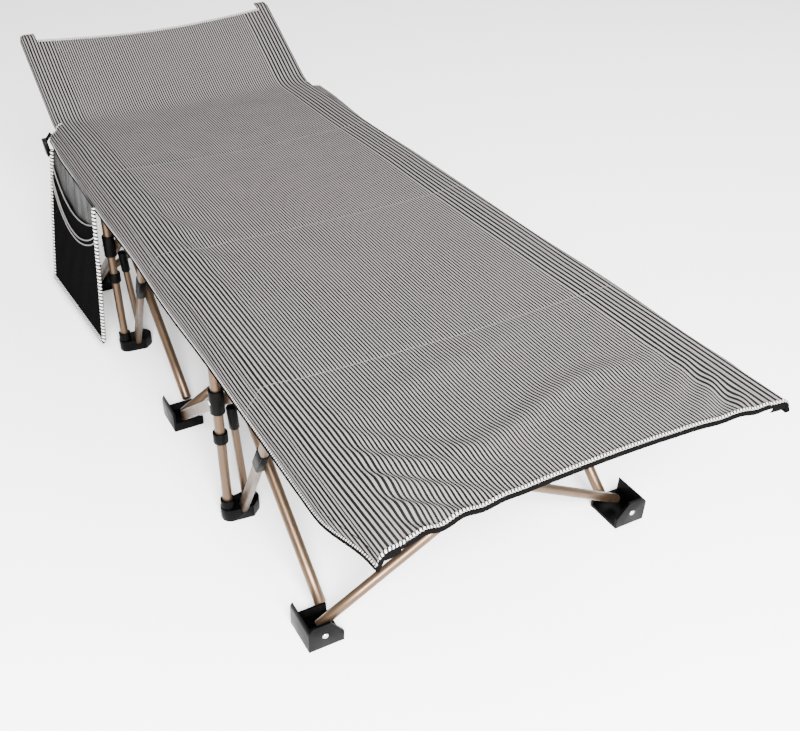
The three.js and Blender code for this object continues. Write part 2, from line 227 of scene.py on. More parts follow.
def bar_mesh(name, start, end, width, depth, corner, material):
    """A bar of rounded rectangular section, its width along X as far as it can lie."""
    start, end = Vector(start), Vector(end)
    z = (end - start).normalized()
    y = z.cross(Vector((1, 0, 0))).normalized()
    x = y.cross(z)
    ring = []
    for quarter, (sx, sy) in enumerate(((1, 1), (-1, 1), (-1, -1), (1, -1))):
        for k in range(BAR_CORNER_STEPS):
            a = math.radians(90 * quarter + 90 / (BAR_CORNER_STEPS - 1) * k)
            ring.append((sx * (width / 2 - corner) + corner * math.cos(a),
                         sy * (depth / 2 - corner) + corner * math.sin(a)))
    lip = min(BAR_LIP, corner / 2)
    length = (end - start).length
    steps = [(0, -lip), (lip, 0), (length - lip, 0), (length, -lip)]
    verts, uvs = [], []
    for at, grow in steps:
        for px, py in ring:
            gx, gy = px * (1 + 2 * grow / width), py * (1 + 2 * grow / depth)
            verts.append(start + z * at + x * gx + y * gy)
            uvs.append((px + py, at))
    n = len(ring)
    faces = [(i * n + k, i * n + (k + 1) % n, (i + 1) * n + (k + 1) % n, (i + 1) * n + k)
             for i in range(len(steps) - 1) for k in range(n)]
    faces.append(tuple(reversed(range(n))))
    faces.append(tuple(range((len(steps) - 1) * n, len(steps) * n)))
    return make_mesh(name, verts, faces, uvs, material)


def axis_of(node):
    """Ends of a straight CAD bar's axis: the middles of its two end faces."""
    points = np.array([v.co for v in frame["nodes"][node].data.vertices], float)
    centre = (points.max(0) + points.min(0)) / 2
    direction = np.linalg.svd(points - points.mean(0), full_matrices=False)[2][0]
    at = (points - centre) @ direction
    ends = []
    for group in (at < at.min() + END_BAND, at > at.max() - END_BAND):
        corners = np.unique(points[group].round(6), axis=0)
        ends.append((corners.max(0) + corners.min(0)) / 2)
    return ends


# ---- materials ------------------------------------------------------------------------------
class Nodes:
    """Short helpers over one material's node tree."""

    def __init__(self, name):
        self.material = bpy.data.materials.new(name)
        self.material.use_nodes = True
        self.tree = self.material.node_tree
        self.shader = self.tree.nodes["Principled BSDF"]

    def add(self, kind, **values):
        node = self.tree.nodes.new(kind)
        for key, value in values.items():
            if key in node.inputs.keys():
                node.inputs[key].default_value = value
            else:
                setattr(node, key, value)
        return node

    def link(self, source, target):
        self.tree.links.new(source, target)

    def feed(self, socket, value):
        if isinstance(value, (int, float)):
            socket.default_value = value
        else:
            self.link(value, socket)

    def math(self, operation, a, b=0.0, c=0.0):
        node = self.add("ShaderNodeMath", operation=operation)
        for socket, value in zip(node.inputs, (a, b, c)):
            self.feed(socket, value)
        return node.outputs[0]

    def uv(self):
        split = self.add("ShaderNodeSeparateXYZ")
        self.link(self.add("ShaderNodeUVMap", uv_map="UVMap").outputs[0], split.inputs[0])
        return split.outputs[0], split.outputs[1]

    def noise(self, scale, detail=3.0, stretch=(1, 1, 1), roughness=0.5):
        place = self.add("ShaderNodeMapping")
        place.inputs["Scale"].default_value = stretch
        self.link(self.add("ShaderNodeTexCoord").outputs["Object"], place.inputs["Vector"])
        node = self.add("ShaderNodeTexNoise", Scale=scale, Detail=detail, Roughness=roughness)
        self.link(place.outputs[0], node.inputs["Vector"])
        return node.outputs["Fac"]

    def wave(self, at, period):
        """0 to 1 and back once in each period of at."""
        turn = self.math("MULTIPLY", at, 2 * math.pi / period)
        return self.math("MULTIPLY_ADD", self.math("SINE", turn), 0.5, 0.5)

    def ramp(self, value, low, high, to_low=0.0, to_high=1.0):
        node = self.add("ShaderNodeMapRange", interpolation_type="SMOOTHSTEP")
        for socket, v in zip(node.inputs, (value, low, high, to_low, to_high)):
            self.feed(socket, v)
        return node.outputs[0]

    def mix(self, factor, a, b):
        node = self.add("ShaderNodeMix", data_type="RGBA")
        self.feed(node.inputs["Factor"], factor)
        for socket, value in ((node.inputs[6], a), (node.inputs[7], b)):
            if isinstance(value, tuple):
                socket.default_value = (*value, 1)
            else:
                self.link(value, socket)
        return node.outputs[2]

    def set(self, **values):
        """Plain values of the shader's inputs; an underscore stands for a space."""
        for key, value in values.items():
            self.shader.inputs[key.replace("_", " ")].default_value = value

    def bump(self, height, strength, distance):
        node = self.add("ShaderNodeBump", Strength=strength, Distance=distance)
        self.link(height, node.inputs["Height"])
        self.link(node.outputs[0], self.shader.inputs["Normal"])


# colours are linear red, green and blue: the darker one first
TUBE_COAT = (0.070, 0.044, 0.026), (0.100, 0.064, 0.040)
MOULDED = (0.0004, 0.0004, 0.0004), (0.0016, 0.0015, 0.0015)
RIVET_STEEL = (0.55, 0.54, 0.52), (0.75, 0.74, 0.72)
BINDING_TAPE = (0.0012, 0.0012, 0.0012), (0.0040, 0.0038, 0.0038)
NET_HOLE, NET_THREAD = (0.0009, 0.0009, 0.0009), (0.0040, 0.0040, 0.0042)
GREY_NYLON = (0.0016, 0.0015, 0.0016), (0.0055, 0.0052, 0.0053)
BLACK_THREAD = (0.004, 0.004, 0.004)
EDGE_THREAD = (0.40, 0.385, 0.37)
POCKET_THREAD = (0.50, 0.485, 0.465)
PIPING_CORD = (0.075, 0.072, 0.070), (0.16, 0.153, 0.150)
SEAM_THREAD = (0.15, 0.14, 0.137)
CLOTH_DUST = (0.07, 0.065, 0.063)
FLOOR_PAINT = (0.90, 0.90, 0.905), (0.915, 0.915, 0.92)

# the materials' small repeats, in metres
PICK = 0.0021                     # one crosswise thread to the next
SEAM_HALF = 0.0016
SEAM_STITCH = 0.012
BINDING_RIB = 0.0018
NET_PITCH = 0.0042
LINING_PITCH = 0.003


def champagne():
    m = Nodes("champagne_satin")
    wear = m.noise(7.0, 4.0)
    fine = m.noise(420.0, 2.0, (1, 1, 0.06))
    tint = m.mix(wear, *TUBE_COAT)
    m.link(tint, m.shader.inputs["Base Color"])
    m.set(Metallic=0.86)
    m.link(m.ramp(m.noise(40.0, 5.0), 0.3, 0.7, 0.33, 0.44), m.shader.inputs["Roughness"])
    m.bump(fine, 0.05, 0.0003)
    return m.material


def plastic():
    m = Nodes("black_moulded")
    grain = m.noise(900.0, 3.0)
    scuffs = m.ramp(m.noise(60.0, 6.0, (1, 1, 0.4)), 0.56, 0.72)
    m.link(m.mix(scuffs, *MOULDED), m.shader.inputs["Base Color"])
    m.link(m.ramp(m.noise(25.0), 0.3, 0.7, 0.36, 0.5), m.shader.inputs["Roughness"])
    m.set(Specular_IOR_Level=0.30, IOR=1.16)
    m.bump(grain, 0.12, 0.0003)
    return m.material


def steel():
    m = Nodes("rivet_steel")
    m.set(Metallic=1.0)
    m.link(m.mix(m.noise(90.0), *RIVET_STEEL), m.shader.inputs["Base Color"])
    m.link(m.ramp(m.noise(300.0), 0.3, 0.7, 0.2, 0.38), m.shader.inputs["Roughness"])
    return m.material


# one dark and one light stripe's width, between two distances from the middle
STRIPE_BANDS = ((-0.6, -0.325, 0.0059), (-0.325, -0.262, 0.0076), (-0.262, 0.252, 0.0059),
                (0.252, 0.325, 0.0092), (0.325, 0.6, 0.0059))
DARK_YARN = (0.0028, 0.0026, 0.0027)
LIGHT_YARN = (0.121, 0.1120, 0.1110)
SEAMS_AT = (0.335, -0.085, -0.56)  # faint seams across, by their Y


def stripes():
    m = Nodes("striped_weave")
    u, v = m.uv()
    drift = m.math("MULTIPLY_ADD", m.noise(3.2, 2.0), 0.008, -0.004)
    across = m.math("ADD", u, drift)
    count = 0.0
    for low, high, pitch in STRIPE_BANDS:
        part = m.math("SUBTRACT", m.math("MINIMUM", m.math("MAXIMUM", across, low), high), low)
        count = m.math("ADD", m.math("DIVIDE", part, pitch), count)
    cord = m.wave(count, 1.0)
    uneven = m.math("MULTIPLY_ADD", m.noise(900.0, 2.0, (1, 0.15, 1)), 0.18, -0.09)
    light = m.ramp(m.math("ADD", cord, uneven), 0.44, 0.66)
    pick = m.wave(v, PICK)
    shade = m.math("MULTIPLY_ADD", pick, 0.16, 0.86)
    yarn = m.mix(light, DARK_YARN, LIGHT_YARN)
    woven = m.add("ShaderNodeMix", data_type="RGBA", blend_type="MULTIPLY")
    woven.inputs["Factor"].default_value = 1.0
    m.link(yarn, woven.inputs[6])
    m.link(shade, woven.inputs[7])
    colour = woven.outputs[2]
    seam = None
    for y in SEAMS_AT:
        away = m.math("ABSOLUTE", m.math("SUBTRACT", v, y - FOOT_Y))
        near = m.ramp(away, 0.0, SEAM_HALF, 1.0, 0.0)
        seam = near if seam is None else m.math("MAXIMUM", seam, near)
    stitch = m.math("MULTIPLY", seam, m.ramp(m.wave(u, SEAM_STITCH), 0.3, 0.5, 0.1, 0.5))
    colour = m.mix(stitch, colour, SEAM_THREAD)
    dust = m.ramp(m.noise(5.0, 4.0), 0.45, 0.75, 0.0, 0.06)
    m.link(m.mix(dust, colour, CLOTH_DUST), m.shader.inputs["Base Color"])
    m.link(m.ramp(m.noise(14.0), 0.3, 0.7, 0.62, 0.78), m.shader.inputs["Roughness"])
    m.set(Specular_IOR_Level=0.20, IOR=1.15)
    height = m.math("MULTIPLY_ADD", cord, 0.7, m.math("MULTIPLY", pick, 0.3))
    height = m.math("SUBTRACT", height, m.math("MULTIPLY", seam, 0.8))
    m.bump(height, 0.35, 0.0006)
    return m.material


def whipped(name, pitch, dark, light, share):
    """Thread whipped over an edge: slanting light and dark turns."""
    m = Nodes(name)
    u, v = m.uv()
    lean = m.math("MULTIPLY_ADD", u, pitch, v)
    turn = m.wave(lean, pitch)
    m.link(m.mix(m.ramp(turn, share, share + 0.2), dark, light), m.shader.inputs["Base Color"])
    m.set(Roughness=0.6, Specular_IOR_Level=0.15)
    m.bump(m.math("ADD", turn, m.math("MULTIPLY", m.noise(1500.0), 0.25)), 0.8, 0.0009)
    return m.material


def webbing():
    m = Nodes("black_binding")
    u, v = m.uv()
    rib = m.wave(m.math("ADD", u, v), BINDING_RIB)
    m.link(m.mix(rib, *BINDING_TAPE), m.shader.inputs["Base Color"])
    m.link(m.ramp(m.noise(60.0), 0.3, 0.7, 0.65, 0.85), m.shader.inputs["Roughness"])
    m.set(Specular_IOR_Level=0.05, IOR=1.08)
    m.bump(m.math("ADD", rib, m.noise(400.0)), 0.4, 0.0005)
    return m.material


def net():
    m = Nodes("black_net")
    u, v = m.uv()
    one_way = m.wave(m.math("ADD", u, v), NET_PITCH)
    other_way = m.wave(m.math("SUBTRACT", u, v), NET_PITCH)
    holes = m.math("MULTIPLY", one_way, other_way)
    m.link(m.mix(m.ramp(holes, 0.2, 0.55), NET_THREAD, NET_HOLE), m.shader.inputs["Base Color"])
    m.set(Roughness=0.75, Specular_IOR_Level=0.02, IOR=1.03)
    m.bump(m.math("SUBTRACT", 1.0, m.ramp(holes, 0.15, 0.6)), 0.6, 0.0006)
    return m.material


def nylon():
    m = Nodes("grey_lining")
    u, v = m.uv()
    grid = m.math("MAXIMUM", m.wave(u, LINING_PITCH), m.wave(v, LINING_PITCH))
    m.link(m.mix(m.noise(12.0, 3.0), *GREY_NYLON), m.shader.inputs["Base Color"])
    m.link(m.ramp(m.noise(16.0, 4.0), 0.3, 0.7, 0.30, 0.46), m.shader.inputs["Roughness"])
    m.set(Specular_IOR_Level=0.40, IOR=1.10)
    creases = m.math("MULTIPLY", m.noise(26.0, 4.0, (1, 1, 0.5)), 6.0)
    m.bump(m.math("MULTIPLY_ADD", grid, 0.12, creases), 0.5, 0.0025)
    return m.material


CHAMPAGNE, PLASTIC, STEEL = champagne(), plastic(), steel()
WEAVE, BINDING, NET, LINING = stripes(), webbing(), net(), nylon()
OVERLOCK = whipped("overlock_thread", 0.0052, BLACK_THREAD, EDGE_THREAD, 0.36)
POCKET_STITCH = whipped("pocket_overlock", 0.0085, BLACK_THREAD, POCKET_THREAD, 0.42)
PIPING = whipped("light_piping", 0.0030, *PIPING_CORD, 0.30)


# ---- tubes ----------------------------------------------------------------------------------
def body_of(node):
    return frame["nodes"][node]["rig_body"]


def put(obj, body):
    """Makes the piece move with a body."""
    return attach(obj, body)


def stand_in(obj, node):
    """Puts the piece in the place of a CAD tube."""
    put(obj, body_of(node))
    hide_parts(node)


LEG_SIDES, RAIL_SIDES = 36, 40
LEG_END_ROUND, RAIL_END_ROUND = 0.0012, 0.0015
FLAT_CORNER = 0.0045
FLAT_DEPTHS = (("flat_leg", 0.022), ("brace", 0.020))


def round_tube(node, radius):
    start, end = axis_of(node)
    path = [start + (end - start) * t for t in np.linspace(0, 1, 9)]
    stand_in(tube_mesh(node + "_tube", path, radius, CHAMPAGNE, LEG_SIDES, ends=LEG_END_ROUND), node)


def thin_side(node):
    low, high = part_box(node)
    return high.x - low.x


for side in ("right", "left"):
    low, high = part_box(f"{side}_foot_rail")
    x = (low.x + high.x) / 2
    straight = np.array([(x, y, RAIL_Z) for y in np.linspace(low.y, high.y, 30)])
    rail = tube_mesh(f"{side}_foot_rail_tube", straight, RAIL_R, CHAMPAGNE, RAIL_SIDES,
                     ends=RAIL_END_ROUND)
    stand_in(rail, f"{side}_foot_rail")

    start_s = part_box(f"{side}_head_rail")[0].y - FOOT_Y
    s = np.concatenate([np.linspace(start_s, DECK_LENGTH, 12)[:-1],
                        np.linspace(DECK_LENGTH, DECK_LENGTH + BEND_LENGTH, 14)[:-1],
                        np.linspace(DECK_LENGTH + BEND_LENGTH, TOTAL, 8)])
    rail = tube_mesh(f"{side}_head_rail_tube", lifted(x, s, 0.0), RAIL_R, CHAMPAGNE, RAIL_SIDES,
                     ends=RAIL_END_ROUND)
    stand_in(rail, f"{side}_head_rail")

    for half in ("foot", "head"):
        round_tube(f"{side}_post_{half}", thin_side(f"{side}_post_{half}") / 2)
        round_tube(f"{side}_long_leg_{half}", thin_side(f"{side}_long_leg_{half}") / 2)
        strut_ends = axis_of(f"{side}_strut_{half}")
        lean_x = abs(strut_ends[1][0] - strut_ends[0][0])
        round_tube(f"{side}_strut_{half}", (thin_side(f"{side}_strut_{half}") - lean_x) / 2)
        for kind, depth in FLAT_DEPTHS:
            node = f"{side}_{kind}_{half}"
            start, end = axis_of(node)
            leg = bar_mesh(node + "_tube", start, end, thin_side(node), depth, FLAT_CORNER, CHAMPAGNE)
            stand_in(leg, node)

for leg in ("a", "b"):
    for where in ("foot", "mid", "head"):
        node = f"cross_leg_{leg}_{where}"
        low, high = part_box(node)
        round_tube(node, (high.y - low.y) / 2)


# ---- plastic parts keep their CAD solids, with their edges rounded ---------------------------
WELD_WITHIN = 0.00002
ROUND_STEPS = 3
ROUND_ABOVE = math.radians(38)
LARGE_ROUND, SMALL_ROUND = 0.0014, 0.0010


def rounded(node, width):
    obj = frame["nodes"][node]
    weld = obj.modifiers.new("weld", "WELD")
    weld.merge_threshold = WELD_WITHIN
    bevel = obj.modifiers.new("round", "BEVEL")
    bevel.width = width
    bevel.segments = ROUND_STEPS
    bevel.limit_method = "ANGLE"
    bevel.angle_limit = ROUND_ABOVE
    bevel.harden_normals = True
    obj.data.polygons.foreach_set("use_smooth", [True] * len(obj.data.polygons))
    obj.data.materials.clear()
    obj.data.materials.append(PLASTIC)


RIVET_HEIGHT = 0.0022
RIVET_SUNK = 0.001                # the rivet's foot is this far inside its face
RIVET_SIDES = 20
SHOE_RIVET, TOP_RIVET, SLIDER_RIVET = 0.0052, 0.0048, 0.0046   # radii
SHOE_PIN_Z, SHOE_PIN_OUT = 0.026, 0.002
TOP_PIN_Z, TOP_PIN_IN = 0.366, 0.016
JOINT_FACE = 0.027                # from the rail joint's middle to its faces


def rivet(name, centre, direction, radius, body):
    """A domed rivet head standing on a face at centre."""
    centre, direction = np.array(centre, float), np.array(direction, float)
    path = [centre - direction * RIVET_SUNK, centre + direction * RIVET_HEIGHT * 0.55]
    dome = min(RIVET_HEIGHT * 0.6, radius * 0.4)
    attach(tube_mesh(name, path, radius, STEEL, RIVET_SIDES, ends=dome), body)


for node in sorted(frame["nodes"]):
    if any(word in node for word in ("shoe", "bracket", "rail_joint")):
        rounded(node, LARGE_ROUND)
    if any(word in node for word in ("slider", "collar")):
        rounded(node, SMALL_ROUND)

BRACE_SLEEVE_SPAN = (0.50, 0.64)     # shares of the brace's length
BRACE_SLEEVE_SIZE = (0.0165, 0.0235, 0.004)
STRUT_CUFF_SPAN = (0.80, 0.90, 1.012)
STRUT_CUFF_RADIUS = 0.0095
STRUT_CUFF_ROUND = 0.001


def upward(node):
    """A bar's axis from its lower end to its upper end."""
    start, end = axis_of(node)
    return (start, end) if start[2] <= end[2] else (end, start)


for side, sign in (("right", 1), ("left", -1)):
    rail_x = RIGHT_X if side == "right" else LEFT_X
    for where in ("foot", "mid", "head"):
        node = f"{side}_shoe_{where}"
        low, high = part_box(node)
        pin_x = (low.x + high.x) / 2 + sign * SHOE_PIN_OUT
        if where != "mid":
            y, out = (low.y, -1) if where == "foot" else (high.y, 1)
            rivet(f"{node}_rivet", (pin_x, y, SHOE_PIN_Z), (0, out, 0), SHOE_RIVET, body_of(node))
        bracket = "rail_joint" if where == "mid" else f"top_bracket_{where}"
        low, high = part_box(f"{side}_{bracket}")
        for face, y in (("foot_face", low.y), ("head_face", high.y)):
            if where == "mid":
                y = (low.y + high.y) / 2 + (-JOINT_FACE if face == "foot_face" else JOINT_FACE)
            rivet(f"{side}_{bracket}_rivet_{face}", (rail_x - sign * TOP_PIN_IN, y, TOP_PIN_Z),
                  (0, -1 if face == "foot_face" else 1, 0), TOP_RIVET, body_of(f"{side}_{bracket}"))
    for half in ("foot", "head"):
        low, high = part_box(f"{side}_slider_{half}")
        out = high.x if side == "right" else low.x
        rivet(f"{side}_slider_{half}_rivet", (out, (low.y + high.y) / 2, (low.z + high.z) / 2),
              (sign, 0, 0), SLIDER_RIVET, body_of(f"{side}_slider_{half}"))
        body = body_of(f"{side}_brace_{half}")
        start, end = upward(f"{side}_brace_{half}")
        from_, to = (start + (end - start) * t for t in BRACE_SLEEVE_SPAN)
        sleeve = bar_mesh(f"{side}_brace_{half}_sleeve", from_, to, *BRACE_SLEEVE_SIZE, PLASTIC)
        put(sleeve, body)
        start, end = upward(f"{side}_strut_{half}")
        cuff = [start + (end - start) * t for t in STRUT_CUFF_SPAN]
        cuff = tube_mesh(f"{side}_strut_{half}_cuff", cuff, STRUT_CUFF_RADIUS, PLASTIC,
                         ends=STRUT_CUFF_ROUND)
        put(cuff, body)


# ---- fabric panel between the sleeves ---------------------------------------------------------
PANEL_COLS, PANEL_ROWS = 121, 361
EDGE_POINTS = 160
PANEL_SAG = 0.008
SEAM_DIP, SEAM_WIDTH = 0.0009, 0.006
RIM = 0.035                       # the waves die out this near the sleeves


def foot_in(x):
    return FOOT_CURVE * (1 - (x / RAIL_HALF) ** 2)


def head_in(x):
    return HEAD_STEP + HEAD_CURVE * (1 - (x / PANEL_HALF) ** 2)


def ripple(x, s):
    """Height of the fabric's slack waves; x is from the middle, s from the foot edge."""
    h = -PANEL_SAG * (1 - (x / PANEL_HALF) ** 2) * smooth(s, 0.0, 0.25)
    # short waves at the two foot corners
    corner = hill(x, -0.27, 0.11) * hill(s, 0.07, 0.13)
    h = h + 0.0052 * corner * np.sin((x * 0.8 + s) * 2 * math.pi / 0.058)
    corner = hill(x, 0.31, 0.10) * hill(s, 0.04, 0.10)
    h = h + 0.0036 * corner * np.sin((s - x * 0.7) * 2 * math.pi / 0.060)
    # two long waves across, near the foot
    ridge = s - 0.150 - 0.10 * x - 0.02 * np.sin(x * 14)
    h = h + 0.0070 * hill(ridge, 0, 0.024) * smooth(x, -0.30, -0.1) * (1 - smooth(x, 0.12, 0.30))
    ridge = s - 0.30 - 0.22 * (x + 0.1)
    h = h + 0.0034 * hill(ridge, 0, 0.03) * hill(x, -0.05, 0.22)
    # waves beside the left sleeve, and unevenness all over
    beside = hill(x, -0.25, 0.07) * hill(s, 0.95, 0.20)
    h = h + 0.0034 * beside * np.sin((s * 0.8 + x) * 2 * math.pi / 0.12)
    h = h + 0.0012 * np.sin(s * 9.1 + x * 5) * np.sin(x * 11 + 1.3)
    for seam in SEAMS_AT:
        h = h - SEAM_DIP * hill(s, seam - FOOT_Y, SEAM_WIDTH)
    return h * smooth(PANEL_HALF - np.abs(x), 0.0, RIM)


def panel():
    x = np.linspace(-PANEL_HALF, PANEL_HALF, PANEL_COLS)[:, None]
    t = np.linspace(0, 1, PANEL_ROWS)[None, :]
    s = foot_in(x) + t * (TOTAL - head_in(x) - foot_in(x))
    points = lifted(MID_X + x + 0 * t, s, OVER_RAIL + ripple(x, s))
    uv = np.stack([x + 0 * t, s], -1)
    return sheet_mesh("deck_panel", points, uv, CLOTH, WEAVE)


def squash(obj):
    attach(obj, RIGHT)
    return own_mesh(obj)


deck = panel()
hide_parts("deck_fabric")
squash(deck)


BEAD_STEP, TAPE_STEP, CORD_STEP = 0.003, 0.006, 0.004
BEAD_SIDES, TAPE_SIDES = 12, 14
EDGE_BEAD, EDGE_TAPE = 0.0029, 0.0042          # radii
BEAD_UP, BEAD_IN = 0.0012, 0.0012
TAPE_DOWN, TAPE_OUT = 0.0030, 0.0010


def edge_line(edge, height, inwards):
    x = np.linspace(-PANEL_HALF, PANEL_HALF, EDGE_POINTS)
    s = foot_in(x) + inwards if edge == "foot" else TOTAL - head_in(x) - inwards
    return lifted(MID_X + x, s, OVER_RAIL + height + ripple(x, s))


panel_trims = []
for edge in ("foot", "head"):
    line = resample(edge_line(edge, BEAD_UP, BEAD_IN), BEAD_STEP)
    panel_trims.append(tube_mesh(f"{edge}_edge_overlock", line, EDGE_BEAD, OVERLOCK, BEAD_SIDES))
    line = resample(edge_line(edge, -TAPE_DOWN, -TAPE_OUT), TAPE_STEP)
    panel_trims.append(tube_mesh(f"{edge}_edge_binding", line, EDGE_TAPE, BINDING, TAPE_SIDES))
for trim in panel_trims:
    squash(trim)

# ---- sleeves over the rails -------------------------------------------------------------------
INNER = RAIL_HALF - PANEL_HALF    # from the rail's axis in to the panel
LEAD_STEPS, ARC_STEPS, ROUND_THE_RAIL_STEPS = 8, 14, 28
SLEEVE_POINTS = 46
FLAP_CURVE = 2.6                  # how quickly the flap turns down from its flare
OVER_LENGTH = 0.075               # a sleeve's section, to find how much of it is inside the rail
END_LENGTH = 0.055


def over_rail(turn, steps):
    """Points (out, up) on the fabric round the rail, from its top through the angle."""
    return [(OVER_RAIL * math.sin(a), OVER_RAIL * math.cos(a)) for a in np.linspace(0, turn, steps)]


def lead_in():
    """Points (out, up) from the panel to the rail's top."""
    return [(-INNER + INNER * t, OVER_RAIL) for t in np.linspace(0, 1, LEAD_STEPS)[:-1]]


def sleeve_section(depth, flare):
    """Points (out, up) from the rail's axis: over the rail and down to the flap's hem."""
    hang = [(OVER_RAIL + (flare - OVER_RAIL) * (1 - (1 - t) ** FLAP_CURVE), -depth * t)
            for t in np.linspace(0, 1, ARC_STEPS)[1:]]
    line = np.array(lead_in() + over_rail(math.pi / 2, ARC_STEPS) + hang)
    flat = np.concatenate([line, np.zeros((len(line), 1))], 1)
    return resample(flat, along(flat)[-1] / (SLEEVE_POINTS - 1))[:SLEEVE_POINTS, :2]


def flap_depth(side, s):
    """How far the flap's hem is below the rail's axis: it hangs on the left only."""
    waves = 0.003 * np.sin(s * 11.0) * smooth(s, 0.1, 0.3)
    if side == "right":
        return 0.006 + waves * 0.6
    hang = 0.009 + 0.027 * smooth(s, 0.0, 0.16) - 0.014 * smooth(s, FLAP_END - 0.10, FLAP_END)
    return hang + waves


def flap_flare(side, s):
    """How far out from the rail's axis the hem is."""
    out = 0.017 + 0.0145 * smooth(s, 0.0, 0.14) + 0.0008 * np.sin(s * 17.0 + 1)
    return out + (0.012 * smooth(s, FLAP_END - 0.30, FLAP_END) if side == "right" else 0)


FINE_END = 0.04                   # the sleeve's foot end is cut finer


def main_sleeve(side, sign, rail_x):
    s = np.concatenate([np.linspace(0, FINE_END, 16)[:-1], np.linspace(FINE_END, FLAP_END, 300)])
    rows = np.array([sleeve_section(flap_depth(side, at), flap_flare(side, at)) for at in s])
    out, up = rows[:, :, 0], rows[:, :, 1]
    curve = foot_in(RAIL_HALF - INNER) * smooth(-out, -0.005, INNER)
    s_here = s[:, None] + curve * (1 - smooth(s, 0, 0.2))[:, None]
    points = lifted(rail_x + sign * out, s_here, up)
    flat = np.linalg.norm(np.diff(rows, axis=1), axis=2)
    across = np.concatenate([np.zeros((len(s), 1)), np.cumsum(flat, axis=1)], 1) + PANEL_HALF
    uv = np.stack([sign * across, s_here], -1)
    if sign > 0:
        points, uv = points[::-1], uv[::-1]
    return sheet_mesh(f"{side}_sleeve", points[:, ::-1], uv[:, ::-1], CLOTH, WEAVE), points


HEM_BEAD, HEM_TAPE, HEM_CORD = 0.0026, 0.0036, 0.0012   # radii
CORD_SIDES = 10
RIM_BEAD = 0.0019
HEADREST_CORDS = (("piping", 15, 0.0013, BINDING), ("overlock", 20, 0.0016, OVERLOCK))

for side, sign, rail_x, body in (("right", 1, RIGHT_X, RIGHT), ("left", -1, LEFT_X, LEFT)):
    sleeve, grid = main_sleeve(side, sign, rail_x)
    put(sleeve, body)
    grid = grid[::-1] if sign > 0 else grid
    hem = grid[:, -1]
    foot_end, head_end = grid[0], grid[-1]
    over_top = int(len(head_end) * INNER / OVER_LENGTH)
    line = np.concatenate([foot_end, hem[1:], head_end[:over_top:-1][1:]])
    beads = tube_mesh(f"{side}_hem_overlock", resample(line, BEAD_STEP), HEM_BEAD, OVERLOCK, BEAD_SIDES)
    put(beads, body)
    below = np.concatenate([foot_end + (0, -0.0010, -0.0042), hem[1:] + (sign * 0.0006, 0, -0.0032)])
    tape = tube_mesh(f"{side}_hem_binding", resample(below, TAPE_STEP), HEM_TAPE, BINDING, BEAD_SIDES)
    put(tape, body)

    # dark piping beside the hem
    line = grid[4:-2, int(grid.shape[1] * 0.80)] + (0, 0, 0.0002)
    cord = tube_mesh(f"{side}_hem_piping", resample(line, TAPE_STEP), HEM_CORD, BINDING, CORD_SIDES)
    put(cord, body)

    # fabric turned down over the rail's foot end
    drop = np.linspace(0, 1, 8)[None, :, None]
    below_rail = foot_end * (1, 1, 0) + (0, 0, RAIL_Z - 0.003)
    below_rail[:, 2] = np.minimum(below_rail[:, 2], foot_end[:, 2] - 0.002)
    keep_from = int(len(foot_end) * (INNER - RAIL_R - 0.002) / END_LENGTH)
    foot_end, below_rail = foot_end[keep_from:], below_rail[keep_from:]
    cap = foot_end[:, None, :] * (1 - drop) + below_rail[:, None, :] * drop
    cap = cap + (0, -0.0022, 0) * np.sin(math.pi * drop) - (0, 0.0004, 0)
    cap_uv = np.stack([cap[:, :, 0], cap[:, :, 2]], -1)
    order = slice(None, None, -1) if sign > 0 else slice(None)
    cap = sheet_mesh(f"{side}_rail_end_cap", cap[order], cap_uv[order], CLOTH, BINDING)
    put(cap, body)

    # headrest's sleeve, closed round the rail
    s = np.linspace(FLAP_END - 0.004, TOTAL + 0.004, 90)
    ring = lead_in() + over_rail(math.pi, ROUND_THE_RAIL_STEPS)
    ring += [(-INNER * t, -OVER_RAIL + (2 * OVER_RAIL - 0.003) * t)
             for t in np.linspace(0, 1, LEAD_STEPS)[1:]]
    ring = np.array(ring)
    closing = smooth(s, TOTAL - 0.012, TOTAL + 0.004)[:, None]
    out = ring[None, :, 0] * (1 - 0.25 * closing * (ring[None, :, 0] > 0))
    up = ring[None, :, 1] * (1 - 0.45 * closing)
    points = lifted(rail_x + sign * out, s[:, None] + 0 * out, up)
    across = along(ring) + PANEL_HALF
    uv = np.stack([sign * (across[None, :] + 0 * out), s[:, None] + 0 * out], -1)
    if sign > 0:
        points, uv = points[::-1], uv[::-1]
    tunnel = sheet_mesh(f"{side}_headrest_sleeve", points[:, ::-1], uv[:, ::-1], CLOTH, WEAVE)
    put(tunnel, body)
    edge = points[::-1] if sign > 0 else points
    for label, place, radius, material in HEADREST_CORDS:
        cord = tube_mesh(f"{side}_headrest_{label}", resample(edge[:, place], CORD_STEP), radius,
                         material, CORD_SIDES)
        put(cord, body)
    rim = points[-1] if sign < 0 else points[0]
    rim = tube_mesh(f"{side}_headrest_rim", resample(rim, BEAD_STEP), RIM_BEAD, OVERLOCK, BEAD_SIDES)
    put(rim, body)


# ---- side pocket ------------------------------------------------------------------------------
PY0, PY1 = pocket_low.y, pocket_high.y
PZ0, PZ1 = pocket_low.z, RAIL_Z - 0.036
TOP_X = LEFT_X - 0.0338
POCKET_SWING = (0.030, 0.053)     # its bottom hangs this far out, at its foot and head ends
POCKET_CELLS = 60
INNER_MOUTH = (0.036, 0.085)      # the pouches' upper edges below the back's: at the ends and
OUTER_MOUTH = (0.062, 0.128)      # in the middle
POCKET_BEAD, POCKET_BEAD_SIDES = 0.0044, 14
POUCH_PIPING = 0.0016


